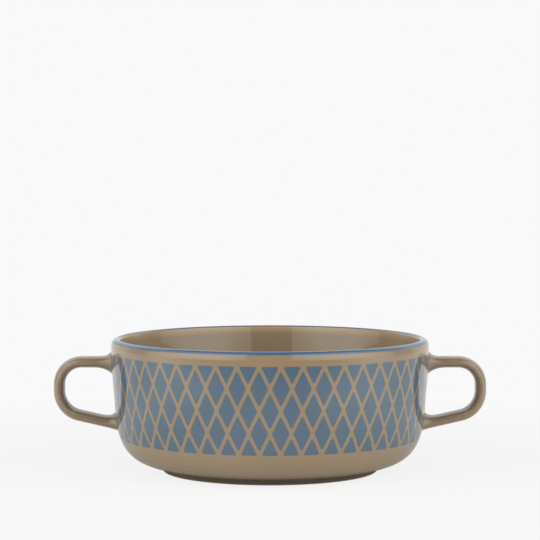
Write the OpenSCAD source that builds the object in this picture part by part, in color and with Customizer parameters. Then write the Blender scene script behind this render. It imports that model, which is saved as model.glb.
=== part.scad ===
// A two-handled soup bowl in glazed stoneware.
// The bowl is thrown as one body on a low foot ring. Two strap handles are
// pulled, bent and luted to the wall with slip. A painted line runs over the
// lip, and a band of lozenges is printed round the wall as two half sheets.
// The origin is on the table, under the middle of the bowl. The handles lie
// along X, and Z is up. All lengths are in millimetres, all angles in degrees.

/* [Bowl] */
// Diameter over the outside of the rim
rim_d = 135.8; // [120:0.2:150]
// Height from the table to the top of the lip
bowl_h = 56.7; // [52:0.1:70]
// Thickness of the wall
wall_t = 4; // [3.2:0.1:5]
// Thickness of the floor above the foot
floor_t = 4.4; // [3.5:0.1:6]
// Radius of the lip's outer rounding
lip_r = 2.4; // [1.8:0.1:3]
// Radius of the softer turn below that rounding, down to the wall
lip_turn_r = 5.5; // [3.5:0.1:8]
// Angle up the outside at which the soft turn gives way to the rounding
lip_turn_end = 20; // [10:1:25]

/* [Wall curve] */
// Slope of the underside where it leaves the foot
underside_tilt = 2.5; // [1:0.1:8]
// Radius of the shallow curve under the bowl
underside_r = 32.5; // [26:0.5:38]
// Slope at which the underside turns into the corner
underside_end = 22; // [16:1:28]
// Radius of the corner that turns the underside up into the wall
corner_r = 15.5; // [11:0.5:18]
// Slope at which the corner turns into the shoulder
corner_end = 70.5; // [64:0.5:76]
// Radius of the shoulder above the corner
shoulder_r = 36.5; // [28:0.5:60]
// Slope at which the shoulder turns into the belly
shoulder_end = 84; // [80:0.5:86]
// Radius of the slight belly of the upper wall
belly_r = 460; // [200:10:700]

/* [Inside] */
// Lean of the inside away from the outside, which thickens the wall downwards
inside_lean = 4; // [0:0.5:6]
// Radius of the shallow rise round the flat of the floor
floor_rise_r = 40; // [30:1:50]
// Slope at which that rise turns into the inner corner
floor_rise_end = 18; // [12:1:24]
// Radius of the inner corner between floor and wall
inner_corner_r = 11; // [9:0.5:15]

/* [Foot] */
// Diameter over the foot ring
foot_d = 91.8; // [84:0.2:98]
// Height of the foot ring
foot_h = 2.1; // [1.5:0.1:4]
// Width of the foot ring
foot_w = 4.2; // [3:0.1:6]
// Radius of the foot ring's lower edges
foot_edge_r = 0.6; // [0.3:0.1:1]

/* [Handles] */
// How far each handle stands out from the rim
handle_reach = 24.7; // [20:0.1:32]
// Depth of the upper arm's centre line below the top of the lip
arm_drop = 10.3; // [8.5:0.1:14]
// Width of the strap
strap_w = 12; // [9:0.5:16]
// Thickness of the strap
strap_t = 4.9; // [3.8:0.1:6]
// Radius of the upper bend's centre line
upper_bend_r = 9.6; // [7:0.1:12]
// Radius of the lower bend's centre line
lower_bend_r = 10.8; // [8:0.1:13]
// Length of the straight leg between the bends
leg_l = 2.8; // [0.5:0.1:6]
// Slope of the lower arm, down towards the wall
lower_slope = 12.8; // [4:0.2:20]

/* [Handle seats] */
// Length over which the arms flare out to their seats
flare_l = 8.5; // [5:0.1:11]
// Flare at each side edge of the strap
flare_side = 1.2; // [0:0.1:2.5]
// Flare on top of the upper arm
upper_flare_out = 1.9; // [0.5:0.1:3]
// Flare under the upper arm
upper_flare_in = 2.6; // [0.5:0.1:5]
// Flare on top of the lower arm
lower_flare_in = 2.2; // [0.5:0.1:4]
// Flare under the lower arm
lower_flare_out = 0.2; // [0:0.1:2]
// Thickness of the slip between a handle and the wall
slip_t = 0.4; // [0.2:0.05:0.8]
// Width of the bead of slip that shows round a seat
slip_bead = 0.3; // [0.1:0.05:0.6]

/* [Print] */
// Number of lozenges in a row round the bowl
lozenges_around = 48; // [36:2:60]
// Rows of lozenges, with the half rows along the band's two edges
lozenge_rows = 5; // [3:1:5]
// Height of one lozenge with its share of the gaps
lozenge_h = 18.15; // [14:0.05:20]
// Depth of the band's top edge below the top of the lip
band_drop = 5.7; // [4.5:0.1:9]
// Gap of bare glaze between two lozenges
print_gap = 1.2; // [0.6:0.1:2]
// Radius of a lozenge's corners
print_corner_r = 0.7; // [0.2:0.1:1]
// Thickness of the print and of the painted line
print_t = 0.12; // [0.08:0.01:0.3]
// Bare glaze between the print and a handle's bead of slip
print_clear = 0.6; // [0.3:0.1:1.5]
// Angle up the lip's outer rounding at which the painted line starts
line_start = 25; // [25:1:70]
// Angle down the lip's inner rounding at which the painted line ends
line_end = 50; // [20:1:70]

/* [Hidden] */

glaze_colour = [0.60, 0.52, 0.44];
handle_colour = [0.57, 0.49, 0.40];
slip_colour = [0.53, 0.45, 0.36];
blue_colour = [0.40, 0.47, 0.54];
line_colour = [0.30, 0.44, 0.57];

round_facets = 180;    // facets of a full turn
arc_step = 4;          // largest turn between two points of a wall curve
arc_chord = 8;         // longest step between two points of a wall curve
bend_step = 10;        // largest turn between two rings of a handle's bend
strap_sides = 28;      // points round the strap's section
flare_rings = 6;       // steps along a flare
inner_power = 3;       // how sharply the inner and side flares grow towards the wall
outer_power = 6;       // the same for the outer flares, which hug the wall
ring_power = 1.5;      // how closely a flare's rings crowd towards the wall
flare_arm_share = 0.9; // most of an arm that its flare may take
corner_steps = 3;      // steps round one corner of a lozenge
seat_tries = 6;        // rounds that find where the lower arm meets the wall

rim_r = rim_d / 2;
foot_r = foot_d / 2;
lip_z = bowl_h - lip_r;
turn_x = rim_r - lip_turn_r;
turn_z = lip_z - (lip_turn_r - lip_r) * sin(lip_turn_end);
lip_x = turn_x + (lip_turn_r - lip_r) * cos(lip_turn_end);
lip_inner_r = lip_x - rim_r + wall_t;
lip_inner_z = bowl_h - lip_inner_r;
floor_z = foot_h + floor_t;

// Travel of a chain of arcs, each given as [radius, slope at its end]
function chain_travel(arcs, slope, i = 0) = i == len(arcs) ? [0, 0] :
    let (r = arcs[i][0], end = arcs[i][1])
    r * [sin(end) - sin(slope), cos(slope) - cos(end)] + chain_travel(arcs, end, i + 1);

function end_slope(arcs) = arcs[len(arcs) - 1][1];

// The chain with a last arc of radius r that runs smoothly into the lip: into a
// rounding of radius lip, with its centre at the height rise, on the arc's far side
function chain_to_lip(arcs, slope, r, rise, lip) =
    let (left = rise - chain_travel(arcs, slope)[1])
    concat(arcs, [[r, acos((r * cos(end_slope(arcs)) - left) / (r + lip))]]);

// Points of the chain from start, moved out by offset along their normals
function chain_points(start, arcs, slope, offset = 0, i = 0) = i == len(arcs) ? [] :
    let (r = arcs[i][0], end = arcs[i][1],
        steps = ceil(max((end - slope) / arc_step, r * (end - slope) * PI / 180 / arc_chord)),
        first = i == 0 ? 0 : 1)
    concat(
        [for (k = [first:steps]) let (t = slope + (end - slope) * k / steps)
            start + r * [sin(t) - sin(slope), cos(slope) - cos(t)] + offset * [sin(t), -cos(t)]],
        chain_points(start + chain_travel([arcs[i]], slope), arcs, end, offset, i + 1));

function reversed(list) = [for (i = [len(list) - 1:-1:0]) list[i]];

outer_arcs = chain_to_lip(
    [[underside_r, underside_end], [corner_r, corner_end], [shoulder_r, shoulder_end]],
    underside_tilt, belly_r, turn_z - foot_h, -lip_turn_r);
outer_top = end_slope(outer_arcs);
outer_start = [turn_x + lip_turn_r * sin(outer_top) - chain_travel(outer_arcs, underside_tilt)[0],
    foot_h];

inner_arcs = chain_to_lip(
    [[floor_rise_r, floor_rise_end], [inner_corner_r, corner_end - inside_lean],
        [shoulder_r - wall_t, shoulder_end - inside_lean]],
    0, belly_r - wall_t, lip_inner_z - floor_z, lip_inner_r);
inner_top = end_slope(inner_arcs);
inner_start = [lip_x - lip_inner_r * sin(inner_top) - chain_travel(inner_arcs, 0)[0], floor_z];

function outer_curve(offset = 0) = chain_points(outer_start, outer_arcs, underside_tilt, offset);

// An arc of the lip about centre, from angle a to angle b
function lip_arc(centre, r, a, b) =
    let (steps = ceil(abs(b - a) / (arc_step * corner_steps)))
    [for (k = [0:steps]) let (t = a + (b - a) * k / steps) centre + r * [cos(t), sin(t)]];

turn_centre = [turn_x, turn_z];
lip_centre = [lip_x, lip_z];
lip_inner_centre = [lip_x, lip_inner_z];

// Radius of the wall's outside at height z
wall_table = [for (p = outer_curve()) [p[1], p[0]]];
function wall_r(z) = lookup(z, wall_table);

// Outline of the thrown body without its foot: underside, wall, lip and inside
module shell_outline() {
    polygon(concat(
        [[0, foot_h]],
        outer_curve(),
        lip_arc(turn_centre, lip_turn_r, outer_top - 90, lip_turn_end),
        lip_arc(lip_centre, lip_r, lip_turn_end, 90),
        lip_arc(lip_inner_centre, lip_inner_r, 90, 90 + inner_top),
        reversed(chain_points(inner_start, inner_arcs, 0)),
        [[0, floor_z]]));
}

// Outline of the foot ring, which runs up into the floor
module foot_outline() {
    foot_in = foot_r - foot_w;
    top = foot_h + floor_t / 2;
    polygon(concat(
        [[foot_r, top], [foot_in, top]],
        lip_arc([foot_in + foot_edge_r, foot_edge_r], foot_edge_r, 180, 270),
        lip_arc([foot_r - foot_edge_r, foot_edge_r], foot_edge_r, 270, 360)));
}

// The room inside the wall's outside, grown by offset, up to the lip
module jacket(offset) {
    curve = outer_curve(offset);
    rotate_extrude($fn = round_facets)
        polygon(concat([[0, curve[0][1]]], curve, [[0, curve[len(curve) - 1][1]]]));
}

// A skin on the wall's outside from depth offset to depth offset plus thickness
module wall_skin(offset, thickness) {
    rotate_extrude($fn = round_facets)
        polygon(concat(outer_curve(offset + thickness), reversed(outer_curve(offset))));
}

module bowl_body() {
    color(glaze_colour) rotate_extrude($fn = round_facets) union() {
        shell_outline();
        foot_outline();
    }
}

// The handle's centre line in the plane y = 0, for the right handle

leg_x = rim_r + handle_reach - strap_t / 2;
arm_z = bowl_h - arm_drop;
upper_bend = [leg_x - upper_bend_r, arm_z - upper_bend_r];
lower_bend = [leg_x - lower_bend_r, upper_bend[1] - leg_l];
lower_turn = 180 - lower_slope;
arm_end = lower_bend + lower_bend_r * [sin(lower_turn), cos(lower_turn)];
arm_dir = [-cos(lower_slope), -sin(lower_slope)];

// Where the lower arm's centre line meets the wall
function arm_z_at(x) = arm_end[1] - (arm_end[0] - x) * tan(lower_slope);
function seat_x(x, tries) = tries == 0 ? x : seat_x(wall_r(arm_z_at(x)), tries - 1);
upper_seat_x = wall_r(arm_z) + slip_t;
lower_seat_x = seat_x(rim_r, seat_tries) + slip_t;

upper_arm_l = upper_bend[0] - upper_seat_x;
lower_arm_l = (arm_end[0] - lower_seat_x) / cos(lower_slope);
bury = wall_t / 2;

// Places of an arm's rings, from inside the wall to the end of the flare
function flare_reach(arm_l) = min(flare_l, arm_l * flare_arm_share);
function ring_places(arm_l) = concat([-bury],
    [for (i = [0:flare_rings]) flare_reach(arm_l) * pow(i / flare_rings, ring_power)]);

// A ring is [centre, normal to the outer side, outer flare, inner flare, side flare].
// An arm's ring at distance d from its seat has what is left of the flares there.
function arm_ring(centre, normal, d, arm_l, flare_out, flare_in) =
    let (left = 1 - max(d, 0) / flare_reach(arm_l))
    [centre, normal, flare_out * pow(left, outer_power),
        flare_in * pow(left, inner_power), flare_side * pow(left, inner_power)];
function upper_ring(d) = arm_ring([upper_seat_x + d, arm_z], [0, 1], d, upper_arm_l,
    upper_flare_out, upper_flare_in);
function lower_ring(d) = arm_ring(arm_end + arm_dir * (lower_arm_l - d),
    [sin(lower_slope), -cos(lower_slope)], d, lower_arm_l, lower_flare_out, lower_flare_in);
function bend_rings(centre, r, a, b) =
    let (steps = ceil((b - a) / bend_step))
    [for (k = [0:steps]) let (t = a + (b - a) * k / steps, n = [sin(t), cos(t)])
        [centre + r * n, n, 0, 0, 0]];

handle_rings = concat(
    [for (d = ring_places(upper_arm_l)) upper_ring(d)],
    bend_rings(upper_bend, upper_bend_r, 0, 90),
    bend_rings(lower_bend, lower_bend_r, 90, lower_turn),
    [for (d = reversed(ring_places(lower_arm_l))) lower_ring(d)]);

// The strap's section: two half ellipses that share their width
function strap_section(ring, grow) =
    let (half_w = strap_w / 2 + ring[4] + grow,
        out = strap_t / 2 + ring[2] + grow, in = strap_t / 2 + ring[3] + grow)
    [for (k = [0:strap_sides - 1]) let (t = 360 * k / strap_sides)
        [half_w * cos(t), (k < strap_sides / 2 ? out : in) * sin(t)]];

// A strap swept through rings, grown by grow on every side
module strap(rings, grow = 0) {
    n = strap_sides;
    last = n * (len(rings) - 1);
    points = [for (ring = rings) for (p = strap_section(ring, grow))
        [ring[0][0] + ring[1][0] * p[1], p[0], ring[0][1] + ring[1][1] * p[1]]];
    sides = [for (i = [0:len(rings) - 2]) for (k = [0:n - 1])
        let (a = n * i + k, b = n * i + (k + 1) % n)
        each [[a, a + n, b + n], [a, b + n, b]]];
    polyhedron(points = points, faces = concat(
        sides, [[for (k = [0:n - 1]) k]], [[for (k = [n - 1:-1:0]) last + k]]));
}

// The right handle, saddle-cut to the wall and clear of it by the slip
module handle() {
    difference() {
        strap(handle_rings);
        jacket(slip_t);
    }
}

// The slip of one seat: what the strap's end presses out against the wall
module slip(rings) {
    intersection() {
        strap(rings, slip_bead);
        wall_skin(0, slip_t);
    }
}

upper_seat_rings = [upper_ring(-bury), upper_ring(0), upper_ring(bury)];
lower_seat_rings = [lower_ring(bury), lower_ring(0), lower_ring(-bury)];

module right_handle() {
    color(handle_colour) handle();
}

module left_handle() {
    color(handle_colour) mirror([1, 0, 0]) handle();
}

module right_upper_slip() {
    color(slip_colour) slip(upper_seat_rings);
}

module left_upper_slip() {
    color(slip_colour) mirror([1, 0, 0]) slip(upper_seat_rings);
}

module right_lower_slip() {
    color(slip_colour) slip(lower_seat_rings);
}

module left_lower_slip() {
    color(slip_colour) mirror([1, 0, 0]) slip(lower_seat_rings);
}

// The painted line over the lip, as a skin on its two roundings
module rim_line() {
    color(line_colour) rotate_extrude($fn = round_facets) polygon(concat(
        lip_arc(lip_centre, lip_r + print_t, line_start, 90),
        lip_arc(lip_inner_centre, lip_inner_r + print_t, 90, 90 + line_end),
        lip_arc(lip_inner_centre, lip_inner_r, 90 + line_end, 90),
        lip_arc(lip_centre, lip_r, 90, line_start)));
}

// A polygon's outline with round corners, its corners listed anticlockwise
function edge_normal(a, b) = let (e = (b - a) / norm(b - a)) [e[1], -e[0]];
function round_corner(a, b, c, r) =
    let (n1 = edge_normal(a, b), n2 = edge_normal(b, c),
        centre = b - r * (n1 + n2) / (1 + n1 * n2),
        from = atan2(n1[1], n1[0]), turn = acos(n1 * n2))
    [for (k = [0:corner_steps]) let (t = from + turn * k / corner_steps)
        centre + r * [cos(t), sin(t)]];
function rounded(corners, r) = let (n = len(corners))
    [for (i = [0:n - 1]) each
        round_corner(corners[(i + n - 1) % n], corners[i], corners[(i + 1) % n], r)];

// A lozenge of the row at height z, drawn in by half a gap on its edges. It is as
// wide as its share of the wall there. A half lozenge lacks one of its points.
pitch = 360 / lozenges_around;
function lozenge(z, up, down) =
    let (w = 2 * PI * wall_r(z) / lozenges_around,
        drawn = 1 - print_gap * norm([w, lozenge_h]) / (w * lozenge_h),
        side = w / 2 * drawn, point = lozenge_h / 2 * drawn)
    rounded(concat([[side, 0]], up ? [[0, point]] : [], [[-side, 0]], down ? [[0, -point]] : []),
        print_corner_r);

// One row of half the bowl: every other row is set over by half a pitch
module print_row(row, first) {
    z = bowl_h - band_drop - row * lozenge_h / 2;
    shift = row % 2 == 0 ? 0 : pitch / 2;
    for (k = [0:lozenges_around / 2 - 1])
        rotate([0, 0, first + shift + k * pitch]) translate([foot_r, 0, z])
            rotate([90, 0, 90]) linear_extrude(rim_r + wall_t - foot_r)
                polygon(lozenge(z, row > 0, row < lozenge_rows - 1));
}

// The room that the print leaves bare round one seat, along the X axis
module seat_room(ring) {
    room = strap_section(ring, slip_bead + print_clear);
    translate([0, 0, ring[0][1]]) rotate([90, 0, 90])
        linear_extrude(rim_r + handle_reach)
            polygon([for (p = room) [p[0], p[1] * ring[1][1]]]);
}

// Half of the printed band, from the angle first round to its far side
module print_sheet(first) {
    color(blue_colour) difference() {
        intersection() {
            union() for (row = [0:lozenge_rows - 1]) print_row(row, first);
            wall_skin(0, print_t);
        }
        for (side = [0, 1]) mirror([side, 0, 0]) {
            seat_room(upper_ring(0));
            seat_room(lower_ring(0));
        }
    }
}

module front_print() {
    print_sheet(180);
}

module back_print() {
    print_sheet(0);
}

bowl_body();
left_handle();
right_handle();
left_upper_slip();
left_lower_slip();
right_upper_slip();
right_lower_slip();
rim_line();
front_print();
back_print();
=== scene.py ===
# %% [markdown]
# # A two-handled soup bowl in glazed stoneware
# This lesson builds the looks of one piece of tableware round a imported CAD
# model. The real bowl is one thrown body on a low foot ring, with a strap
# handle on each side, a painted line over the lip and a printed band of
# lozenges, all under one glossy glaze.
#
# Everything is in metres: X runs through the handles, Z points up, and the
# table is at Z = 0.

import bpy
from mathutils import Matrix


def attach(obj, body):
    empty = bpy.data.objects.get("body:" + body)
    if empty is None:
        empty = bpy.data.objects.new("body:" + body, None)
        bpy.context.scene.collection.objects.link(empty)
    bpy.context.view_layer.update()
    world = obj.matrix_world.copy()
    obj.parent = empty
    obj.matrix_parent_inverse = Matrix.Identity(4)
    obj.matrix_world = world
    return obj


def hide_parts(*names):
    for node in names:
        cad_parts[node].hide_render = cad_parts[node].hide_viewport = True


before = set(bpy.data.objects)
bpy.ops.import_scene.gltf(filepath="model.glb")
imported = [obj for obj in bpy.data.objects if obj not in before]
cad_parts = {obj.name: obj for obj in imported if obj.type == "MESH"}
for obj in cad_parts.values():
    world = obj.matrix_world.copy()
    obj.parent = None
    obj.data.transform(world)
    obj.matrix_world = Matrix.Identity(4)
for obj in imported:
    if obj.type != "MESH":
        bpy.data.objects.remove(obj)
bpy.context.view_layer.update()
print("CAD nodes:", sorted(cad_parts))

# %% [markdown]
# ## The camera
# The photograph was taken from a metre away with a long lens, a little above
# the rim. A long lens keeps the ellipse of the rim flat and the two sides of
# the bowl almost parallel. The camera is tipped down instead of shifted, so
# that it still frames the bowl when it moves to another side.

# %% Place the camera
import math

import bpy

bpy.ops.object.select_all(action="DESELECT")
CAMERA_PLACE = (0, -0.9566, 0.1400)
CAMERA_TIP = 3.248  # degrees below the horizon
LENS = 149.56  # mm, for a sensor of this width
SENSOR_W = 36
bpy.ops.object.camera_add(
    location=CAMERA_PLACE, rotation=(math.radians(90 - CAMERA_TIP), 0, 0))
camera = bpy.context.object
camera.data.lens = LENS
camera.data.sensor_width = SENSOR_W
bpy.context.scene.camera = camera
print("Camera looks down by", CAMERA_TIP, "degrees with a lens of", LENS, "mm")

# %% [markdown]
# ## Tools for every piece
# Operators act on whatever is selected, so each piece starts from an empty
# selection. These helpers name a new primitive and open it in edit mode, close
# it again, and pick vertices by their place. Sizes are in millimetres, as a
# potter would measure them, and MM turns them into metres.

# %% Edit helpers
import bmesh
from mathutils import Vector

MM = 0.001
MERGED = 0.002  # mm: vertices this close become one
NEAR = 0.01  # mm: a vertex this close to a place is at it


def select_none():
    """Leaves no object selected, so that the next one starts alone."""
    bpy.ops.object.select_all(action="DESELECT")


def set_mode(mode):
    """Opens the active piece for editing (EDIT) or closes it (OBJECT)."""
    bpy.ops.object.mode_set(mode=mode)


def take_all():
    """Selects the whole of the open mesh."""
    bpy.ops.mesh.select_all(action="SELECT")


def extrude_by(x, y, z):
    """Extrudes what is selected by x, y and z."""
    bpy.ops.mesh.extrude_region_move(TRANSFORM_OT_translate={"value": (x * MM, y * MM, z * MM)})


def stretch(x, y, z):
    """Stretches what is selected away from the origin."""
    bpy.ops.transform.resize(value=(x, y, z), center_override=(0, 0, 0))


def turn_about(axis, angle):
    """Turns what is selected about an axis through the origin."""
    bpy.ops.transform.rotate(value=angle, orient_axis=axis, center_override=(0, 0, 0))


def open_new(name):
    """Names the primitive that was just added and opens it in edit mode."""
    piece = bpy.context.object
    piece.name = piece.data.name = name
    set_mode("EDIT")
    bpy.ops.mesh.select_mode(type="VERT")
    return piece


def pick(piece, wanted):
    """Selects the vertices for which wanted(place) is true, in edit mode."""
    mesh = bmesh.from_edit_mesh(piece.data)
    for v in mesh.verts:
        v.select = wanted(v.co)
    mesh.select_flush_mode()
    mesh.select_flush(True)
    bmesh.update_edit_mesh(piece.data)


def clean_and_close(piece):
    """Merges doubles, points every face outwards and leaves edit mode."""
    take_all()
    bpy.ops.mesh.remove_doubles(threshold=MERGED * MM)
    bpy.ops.mesh.normals_make_consistent(inside=False)
    set_mode("OBJECT")


def make_only(piece):
    """Makes this piece the only one that operators act on."""
    select_none()
    piece.select_set(True)
    bpy.context.view_layer.objects.active = piece


def apply_modifier(piece, kind, **settings):
    """Adds a modifier, sets it and applies it."""
    make_only(piece)
    modifier = piece.modifiers.new(kind.lower(), kind)
    for name, value in settings.items():
        setattr(modifier, name, value)
    bpy.ops.object.modifier_apply(modifier=modifier.name)


def faces(piece):
    """How many faces a piece has."""
    return len(piece.data.polygons)


print("Helpers ready; 1 mm is", MM, "m")

# %% [markdown]
# ## The wall's curve
# On a thrown bowl the outside runs in one sweep from the foot to the lip. It
# could be drawn freehand, but a chain of arcs that run smoothly into each
# other is easy to measure and to change: a shallow underside, a tight heel, a
# round shoulder, an almost straight belly and a softer turn under the lip.
# Inside, a like chain leans away a little, so that the wall thickens downwards
# and carries itself while it is wet. Both end where they run smoothly into the
# rounding of the lip.

# %% Measure the wall
RIM_R = 67.9
BOWL_H = 56.7
WALL_T = 4
LIP_R = 2.4  # outer rounding of the lip
TURN_R = 5.5  # softer turn below it
TURN_END = 20  # degrees up the outside at which that turn ends
TURN_X = RIM_R - TURN_R
LIP_X = TURN_X + (TURN_R - LIP_R) * math.cos(math.radians(TURN_END))
LIP_CENTRE = (LIP_X, BOWL_H - LIP_R)
TURN_CENTRE = (TURN_X, LIP_CENTRE[1] - (TURN_R - LIP_R) * math.sin(math.radians(TURN_END)))
LIP_IN_R = LIP_X - RIM_R + WALL_T
LIP_IN_CENTRE = (LIP_X, BOWL_H - LIP_IN_R)
FOOT_H = 2.1
FLOOR_Z = 6.5  # the inside of the floor
LEAN = 4  # degrees that the inside leans away from the outside
UNDER_START = 2.5  # slope in degrees where the underside leaves the foot
UNDER_R, UNDER_END = 32.5, 22  # radius, and slope in degrees at the end
HEEL_R, HEEL_END = 15.5, 70.5
SHOULDER_R, SHOULDER_END = 36.5, 84
BELLY_R = 460
FLOOR_R, FLOOR_END = 40, 18  # the inside's own lower arcs
HEEL_IN_R = 11


def on_arc(r, z, radius, a, t):
    """The point with slope t on an arc that starts at (r, z) with slope a."""
    return r + radius * (math.sin(t) - math.sin(a)), z + radius * (math.cos(a) - math.cos(t))


def chain_to_lip(z, slope, arcs, top_r, centre, lip):
    """Arcs as (r, z, radius, slope, end slope). The last one meets the lip's rounding."""
    r, chain = 0, []
    for radius, end in arcs + [(top_r, None)]:
        a = math.radians(slope)
        if end is None:
            end = math.degrees(math.acos((radius * math.cos(a) - centre[1] + z) / (radius + lip)))
        b = math.radians(end)
        chain.append((r, z, radius, a, b))
        r, z = on_arc(r, z, radius, a, b)
        slope = end
    shift = centre[0] - lip * math.sin(b) - r
    return [(r + shift, *rest) for r, *rest in chain]


outside = chain_to_lip(
    FOOT_H, UNDER_START, [(UNDER_R, UNDER_END), (HEEL_R, HEEL_END), (SHOULDER_R, SHOULDER_END)],
    BELLY_R, TURN_CENTRE, -TURN_R)
inside = chain_to_lip(
    FLOOR_Z, 0, [(FLOOR_R, FLOOR_END), (HEEL_IN_R, HEEL_END - LEAN),
                 (SHOULDER_R - WALL_T, SHOULDER_END - LEAN)],
    BELLY_R - WALL_T, LIP_IN_CENTRE, LIP_IN_R)


def wall_at(z):
    """Radius of the outside at height z, and its slope in radians."""
    for r, z0, radius, a, b in outside:
        if z <= on_arc(r, z0, radius, a, b)[1] or (r, z0) == outside[-1][:2]:
            slope = math.acos(math.cos(a) - (max(z, FOOT_H) - z0) / radius)
            return on_arc(r, z0, radius, a, slope)[0], slope


print("Outside radius at 15, 25 and 45 mm:", [round(wall_at(z)[0], 2) for z in (15, 25, 45)])

# %% Trace the profile
STEP_TURN = math.radians(2)  # largest turn between two points
STEP_L = 1.5  # and longest way between them
LIP_STEPS = 12  # steps of each rounding of the lip


def trace(chain):
    """Points (r, z) along a chain, its last one included."""
    points = []
    for r, z, radius, a, b in chain:
        steps = math.ceil(max((b - a) / STEP_TURN, radius * (b - a) / STEP_L))
        points += [on_arc(r, z, radius, a, a + (b - a) * k / steps) for k in range(steps)]
    return points + [on_arc(r, z, radius, a, b)]


def arc(centre, radius, first, last):
    """Points on a circle, from the angle first to the angle last."""
    turns = [math.radians(first + (last - first) * k / LIP_STEPS) for k in range(LIP_STEPS + 1)]
    return [(centre[0] + radius * math.cos(t), centre[1] + radius * math.sin(t)) for t in turns]


FOOT_R = 45.9
FOOT_IN_R = 41.7
FOOT_CLEAR = 1  # how far outside the foot the wall's own points start
clear_of_foot = [p for p in trace(outside) if p[0] > FOOT_R + FOOT_CLEAR]
foot_top = FOOT_H + (clear_of_foot[0][1] - FOOT_H) / 2
profile = (
    [(0, FOOT_H), (FOOT_IN_R, FOOT_H), (FOOT_IN_R, 0), (FOOT_R, 0), (FOOT_R, foot_top)]
    + clear_of_foot
    + arc(TURN_CENTRE, TURN_R, math.degrees(outside[-1][4]) - 90, TURN_END)[1:]
    + arc(LIP_CENTRE, LIP_R, TURN_END, 90)[1:]
    + arc(LIP_IN_CENTRE, LIP_IN_R, 90, 90 + math.degrees(inside[-1][4]))[1:]
    + trace(inside)[::-1][1:]
    + [(0, FLOOR_Z)])
print("The profile has", len(profile), "points")

# %% [markdown]
# ## The thrown body
# A potter draws the wall up while the clay turns. The modelling follows that:
# one vertex is extruded point by point along the profile, its few hard corners
# are softened while it is still a line, and the line is spun once round the
# axis. A stack of extruded rings would do as well, but the spin keeps every
# ring true.

# %% Spin the body
SPIN_STEPS = 256
ROUND_STEPS = 4  # steps of a small rounding
RECESS_ROUND = 0.9  # rounding where the foot ring meets the recess inside it,
FOOT_ROUND = 0.6  # of its two lower edges
HEEL_ROUND = 0.45  # and where it meets the wall


def draw_profile(name, points):
    """One vertex, extruded along points (r, z) in the plane y = 0."""
    select_none()
    bpy.ops.mesh.primitive_plane_add(size=MM)
    piece = open_new(name)
    bpy.ops.mesh.merge(type="CENTER")
    bpy.ops.transform.translate(value=(points[0][0] * MM, 0, points[0][1] * MM))
    for (r0, z0), (r1, z1) in zip(points, points[1:]):
        bpy.ops.mesh.extrude_vertices_move(
            TRANSFORM_OT_translate={"value": ((r1 - r0) * MM, 0, (z1 - z0) * MM)})
    return piece


def soften(piece, corner, size):
    """Rounds one corner of a profile that is still a line."""
    place = Vector((corner[0] * MM, 0, corner[1] * MM))
    pick(piece, lambda co: (co - place).length < NEAR * MM)
    bpy.ops.mesh.bevel(offset=size * MM, segments=ROUND_STEPS, affect="VERTICES")


def spin_round(piece):
    """Spins the whole profile once round the bowl's axis."""
    take_all()
    bpy.ops.mesh.spin(steps=SPIN_STEPS, angle=2 * math.pi, center=(0, 0, 0), axis=(0, 0, 1))
    clean_and_close(piece)


body = draw_profile("thrown_body", profile)
for corner, size in (((FOOT_IN_R, FOOT_H), RECESS_ROUND), ((FOOT_IN_R, 0), FOOT_ROUND),
                     ((FOOT_R, 0), FOOT_ROUND), ((FOOT_R, foot_top), HEEL_ROUND)):
    soften(body, corner, size)
spin_round(body)
bpy.ops.object.shade_smooth()
print("The body has", faces(body), "faces and is", round(body.dimensions.z / MM, 2), "mm high")

# %% [markdown]
# ## The painted line
# A banding brush lays a thin line of colour over the lip while the bowl turns
# on a wheel. It is a skin that starts just above the softer turn under the lip
# and ends a little over halfway down the lip's inner rounding. Its profile is
# closed, so that it has a real thickness, with its lower side just inside the
# body. The line is weaker along its two edges, so a value that fades there is
# kept for its material.

# %% Spin the line
LINE_START = 25  # degrees up the outer rounding
LINE_END = 50  # degrees down the inner rounding
SKIN = 0.04  # how far colour stands proud of the wall
SUNK = 0.06  # how deep it lies in the wall
SHARP = math.radians(40)  # edges that turn more than this stay sharp


def over_lip(offset):
    """Points from one edge of the line to the other, at a distance from the lip."""
    return (arc(LIP_CENTRE, LIP_R + offset, LINE_START, 90)
            + arc(LIP_IN_CENTRE, LIP_IN_R + offset, 90, 90 + LINE_END)[1:])


top_side = over_lip(SKIN)
line = draw_profile("lip_line", top_side + over_lip(-SUNK)[::-1] + top_side[:1])
spin_round(line)
bpy.ops.object.shade_smooth_by_angle(angle=SHARP)
print("The line has", faces(line), "faces")

# %% Keep how strong the line is
FADE = 0.35  # width over which the colour fades at an edge


def travel_over_lip(co):
    """Millimetres along the lip from the crest, outwards positive."""
    r, z = math.hypot(co.x, co.y) / MM, co.z / MM
    c, radius = (LIP_CENTRE, LIP_R) if r > LIP_CENTRE[0] else (LIP_IN_CENTRE, LIP_IN_R)
    return math.radians(90 - math.degrees(math.atan2(z - c[1], r - c[0]))) * radius


def keep_strength(piece, strength):
    """Stores a value from 0 to 1 at every vertex, for the material to read."""
    layer = piece.data.attributes.new("strength", "FLOAT", "POINT")
    for v in piece.data.vertices:
        layer.data[v.index].value = strength(v)


outer_edge = math.radians(90 - LINE_START) * LIP_R
inner_edge = math.radians(LINE_END) * LIP_IN_R
keep_strength(line, lambda v: min(1, max(0, min(
    outer_edge - travel_over_lip(v.co), inner_edge + travel_over_lip(v.co)) / FADE)))
print("The line is", round(outer_edge + inner_edge, 2), "mm wide")

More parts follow.
